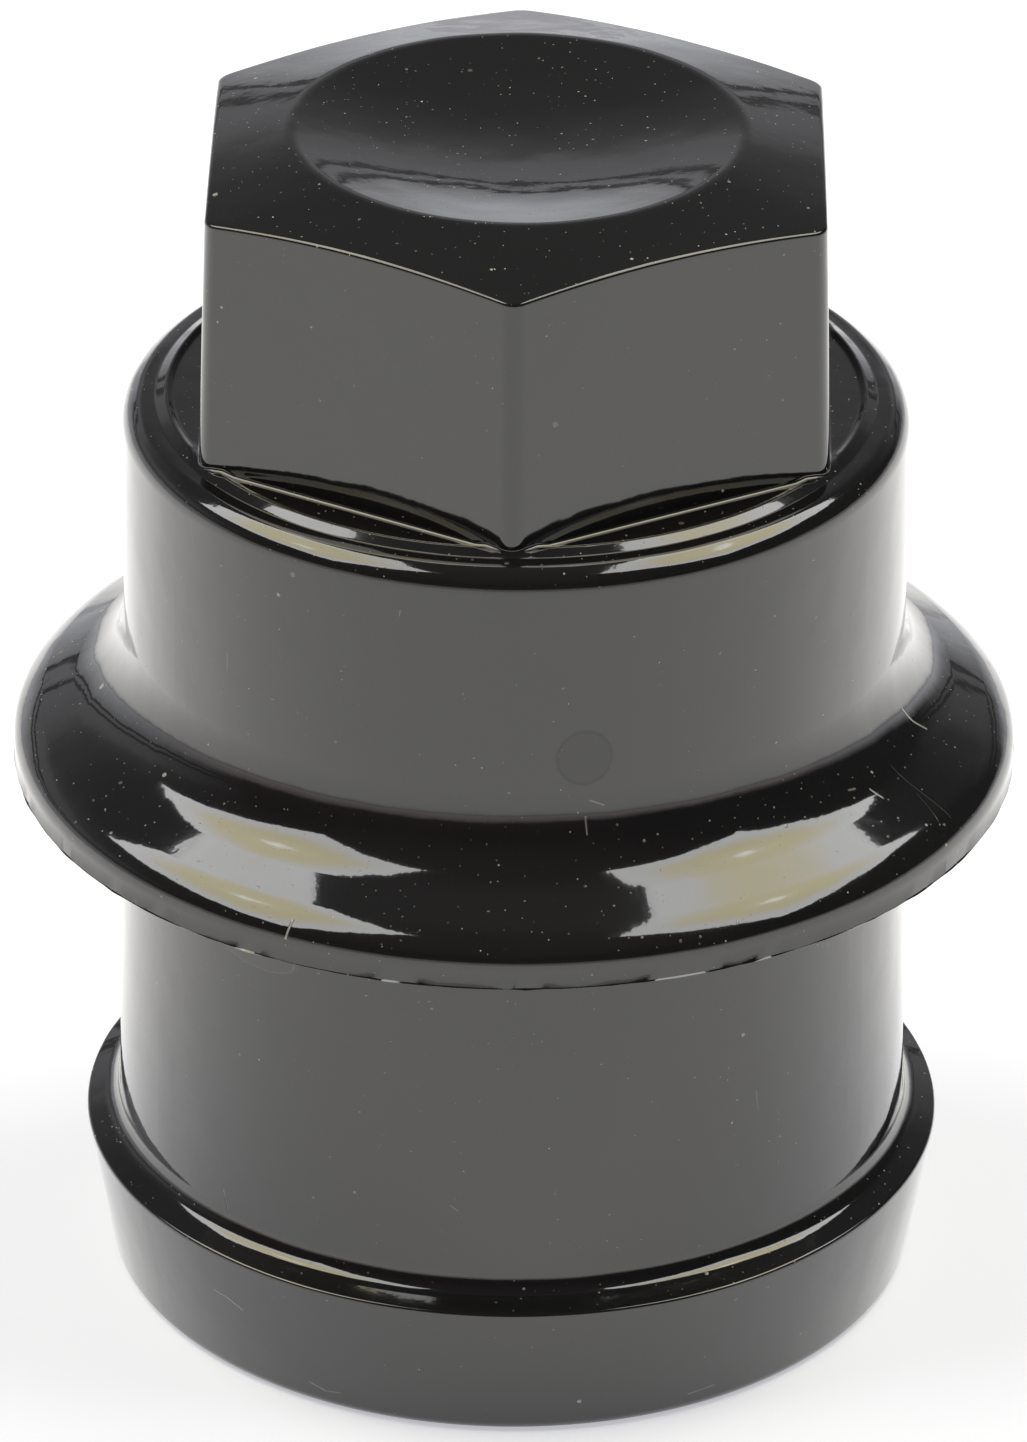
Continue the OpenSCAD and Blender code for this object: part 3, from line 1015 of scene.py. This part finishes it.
def studio_world():
    """White to the camera. To reflections, a pale sweep behind the cap and a dark studio before it."""
    world = bpy.data.worlds.new("studio")
    bpy.context.scene.world = world
    world.use_nodes = True
    tree = world.node_tree
    back = tree.nodes["Background"].inputs
    way = tree.nodes.new("ShaderNodeTexCoord").outputs["Generated"]
    parts = parts_of(tree, way)
    ripple = noise_node(tree, way, RIPPLE_CELLS, 2)
    shift = math_node(tree, "MULTIPLY_ADD", ripple, RIPPLE, -RIPPLE / 2)
    level = math_node(tree, "ADD", parts["Z"], shift)
    height = math_node(tree, "MULTIPLY_ADD", level, 0.5, 0.5)
    behind = level_ramp(tree, height, SWEEP_BEHIND, COOL)
    before = level_ramp(tree, height, DARK_OVER_CAMERA, WARM)
    side = math_node(tree, "MULTIPLY_ADD", parts["Y"], SIDE_BLEND, SIDE_MIDDLE, clamp=True)
    room = mix_node(tree, side, before, behind)

    past = math_node(tree, "SUBTRACT", parts["X"], RIGHT_START)
    right = math_node(tree, "MULTIPLY", past, RIGHT_FADE, clamp=True)
    raised = math_node(tree, "MULTIPLY_ADD", parts["Z"], HORIZON_FADE,
                       -HORIZON_FADE * HORIZON_START, clamp=True)
    faded = mix_node(tree, math_node(tree, "MULTIPLY", right, raised), room, RIGHT_DARK)
    path = tree.nodes.new("ShaderNodeLightPath").outputs
    seen = mix_node(tree, path["Is Camera Ray"], faded, (1.0, 1.0, 1.0))
    tree.links.new(seen, back["Color"])
    back["Strength"].default_value = 1.0


# Softboxes

# Azimuth and elevation in degrees, roll, and the window's left, right, lower and upper edge as
# tangents seen from the cap. Azimuth 0 is over the camera and plus is to the right
SOFTBOXES = {"softbox_left": (-90, 52, 10.0, (-0.42, 0.40, -0.21, 0.37)),
             "softbox_right": (108, 63, -11.0, (-0.46, 0.36, -0.37, 0.22))}
SOFTBOX_RADIANCE = 3.0
SOFTBOX_DISTANCE = 0.8
SOFTBOX_AIM = Vector((0, 0, 25 * MM))

# Light through their cloth, from the middle to the edge: share of the way and colour
CLOTH = [(0.0, (2.0, 2.0, 1.9)), (0.08, (1.9, 1.85, 1.6)), (0.15, (1.4, 1.3, 0.88)),
         (0.45, (1.35, 1.24, 0.80)), (0.66, (1.35, 1.28, 1.02)), (0.8, (1.33, 1.33, 1.30)),
         (0.97, (1.38, 1.39, 1.38))]


def softbox_cloth(light):
    """Shades an area light as cloth over a lamp: a white glare in its middle, cream round it, and
    whiter towards its edges."""
    light.use_nodes = True
    tree = light.node_tree
    glow = next(node for node in tree.nodes if node.type == "EMISSION")
    spot = parts_of(tree, tree.nodes.new("ShaderNodeNewGeometry").outputs["Parametric"])
    offsets = [math_node(tree, "SUBTRACT", spot[axis], 0.5) for axis in ("X", "Y")]
    sizes = [math_node(tree, "ABSOLUTE", offset) for offset in offsets]
    square = math_node(tree, "MAXIMUM", *sizes)
    total = math_node(tree, "MULTIPLY", offsets[0], offsets[0])
    total = math_node(tree, "MULTIPLY_ADD", offsets[1], offsets[1], total)
    share = math_node(tree, "ADD", square, math_node(tree, "SQRT", total))
    tree.links.new(ramp_node(tree, share, CLOTH), glow.inputs["Color"])


def softbox(name, azimuth, elevation, roll, window):
    """A rectangular softbox that faces the cap, with its window turned by the roll."""
    turn, tilt, lean = math.radians(azimuth), math.radians(elevation), math.radians(roll)
    way = Vector((math.sin(turn) * math.cos(tilt), -math.cos(turn) * math.cos(tilt), math.sin(tilt)))
    level = Vector((math.cos(turn), math.sin(turn), 0))
    rise = way.cross(level)
    across = level * math.cos(lean) + rise * math.sin(lean)
    up = rise * math.cos(lean) - level * math.sin(lean)
    left, right, low, high = window
    light = bpy.data.lights.new(name, "AREA")
    light.shape = "RECTANGLE"
    light.size = SOFTBOX_DISTANCE * (right - left)
    light.size_y = SOFTBOX_DISTANCE * (high - low)
    light.energy = SOFTBOX_RADIANCE * math.pi * light.size * light.size_y
    softbox_cloth(light)
    lamp = bpy.data.objects.new(name, light)
    bpy.context.scene.collection.objects.link(lamp)
    middle = way + across * (left + right) / 2 + up * (low + high) / 2
    lamp.matrix_world = Matrix.Translation(SOFTBOX_AIM + middle * SOFTBOX_DISTANCE) \
        @ Matrix((across, up, way)).transposed().to_4x4()


# Camera

# That of the photograph: its frame's height and focal length in pixels, its distance and aim in
# millimetres, and its angles in degrees
PHOTO_HEIGHT = 1442
FOCAL_PIXELS = 9403.9
CAMERA_DISTANCE = 339.43
CAMERA_ELEVATION = 28.263
CAMERA_AZIMUTH = 0.533
CAMERA_ROLL = 0.4107
CAMERA_AIM = Vector((-0.017, 0.0, 20.949))
SENSOR = 36.0


def photo_camera():
    data = bpy.data.cameras.new("camera")
    data.sensor_fit = "AUTO"
    data.sensor_width = SENSOR
    data.lens = FOCAL_PIXELS * SENSOR / PHOTO_HEIGHT
    camera = bpy.data.objects.new("camera", data)
    bpy.context.scene.collection.objects.link(camera)
    turn = Matrix.Rotation(math.radians(CAMERA_AZIMUTH), 4, "Z")
    tilt = math.radians(CAMERA_ELEVATION)
    back = Vector((0, -math.cos(tilt), math.sin(tilt)))
    right = Vector((1, 0, 0))
    up = back.cross(right)
    roll = math.radians(CAMERA_ROLL)
    x_axis = right * math.cos(roll) + up * math.sin(roll)
    y_axis = up * math.cos(roll) - right * math.sin(roll)
    basis = Matrix((x_axis, y_axis, back)).transposed().to_4x4()
    place = Matrix.Translation((CAMERA_AIM + back * CAMERA_DISTANCE) * MM)
    camera.matrix_world = turn @ place @ basis
    bpy.context.scene.camera = camera


# Scene

bpy.context.scene.view_settings.view_transform = "Standard"
photo_camera()
white_floor()
studio_world()
for name, place in SOFTBOXES.items():
    softbox(name, *place)

cap = make_cap()
cap.data.materials.clear()
cap.data.materials.append(black_plastic())
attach(cap, "root")
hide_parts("cap")
